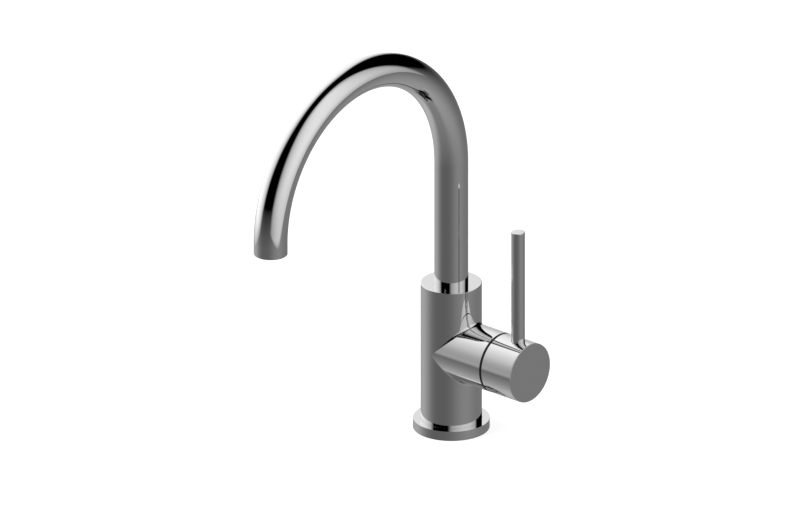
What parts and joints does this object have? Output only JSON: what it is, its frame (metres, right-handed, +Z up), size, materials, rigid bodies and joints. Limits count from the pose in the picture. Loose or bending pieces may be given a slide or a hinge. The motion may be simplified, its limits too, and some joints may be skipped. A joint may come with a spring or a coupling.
{
  "type": "single-lever basin mixer",
  "caption": "Round chrome basin mixer with a tall gooseneck spout that swivels and a side hub with a slim upright pin lever.",
  "frame": {"origin": "centre of the flange's underside, on the upper side of the basin's deck and on the body's axis", "axes": "+Z up along the body and the riser; the spout reaches towards -Y at rest; the side boss and the lever hub lie along +X"},
  "size_m": [0.093, 0.2149, 0.3327],
  "materials": {
    "chrome": "polished chrome plate on brass",
    "chrome_flange": "polished chrome plate on brass",
    "chrome_dome": "polished chrome plate on brass",
    "chrome_hub": "polished chrome plate on brass",
    "chrome_pin": "polished chrome plate on brass",
    "chrome_spout": "polished chrome plate on brass tube",
    "plug": "metallised plastic",
    "brass": "turned brass",
    "steel": "stainless steel",
    "steel_plate": "zinc-plated pressed steel",
    "rubber": "moulded rubber",
    "ceramic": "lapped alumina ceramic",
    "cartridge_plastic": "moulded acetal",
    "cartridge_shell": "moulded plastic with glass fibre",
    "aerator_plastic": "moulded acetal"
  },
  "bodies": {
    "root": {"body": "chrome", "base_flange": "chrome_flange", "base_seal": "rubber", "cartridge_base": "cartridge_plastic", "cartridge_seals": "rubber", "cartridge_housing": "cartridge_shell", "fixed_disc": "ceramic", "cartridge_nut": "brass", "dome_cover": "chrome_dome", "spout_thrust_washer": "cartridge_plastic", "spout_retaining_screw": "steel", "fixing_stud": "steel", "fixing_gasket": "rubber", "fixing_bracket": "steel_plate", "fixing_nut": "brass"},
    "spout": {"spout_tube": "chrome_spout", "spout_connector": "brass", "spout_o_rings": "rubber", "spout_slip_ring": "cartridge_plastic", "aerator_seat": "brass", "aerator_seal": "rubber", "aerator_screen": "steel", "aerator_insert": "aerator_plastic", "aerator_housing": "aerator_plastic"},
    "rotor": {"cartridge_rotor": "cartridge_plastic", "stem_pivot_pin": "steel"},
    "lever": {"lever_stem": "brass", "handle_hub": "chrome_hub", "lever_pin": "chrome_pin", "handle_grub_screw": "steel", "grub_screw_plug": "plug"},
    "disc": {"disc_carrier": "cartridge_plastic", "moving_disc": "ceramic"}
  },
  "joints": [
    {"name": "spout_swivel", "type": "hinge", "parent": "root", "child": "spout", "pos_m": [0, 0, 0.09], "axis": [0, 0, 1], "continuous": true},
    {"name": "lever_turn", "type": "hinge", "parent": "root", "child": "rotor", "pos_m": [0.0245, 0, 0.0566], "axis": [1, 0, 0], "range_deg": [-45, 45]},
    {"name": "lever_tilt", "type": "hinge", "parent": "rotor", "child": "lever", "pos_m": [0.0245, 0, 0.0566], "axis": [0, 1, 0], "range_deg": [0, 25]},
    {"name": "disc_slide", "type": "slide", "parent": "rotor", "child": "disc", "axis": [0, 0, 1], "range_m": [0, 0.0031]}
  ],
  "couplings": [
    {"joint": "disc_slide", "follows": "lever_tilt", "m_per_rad": 0.007}
  ]
}
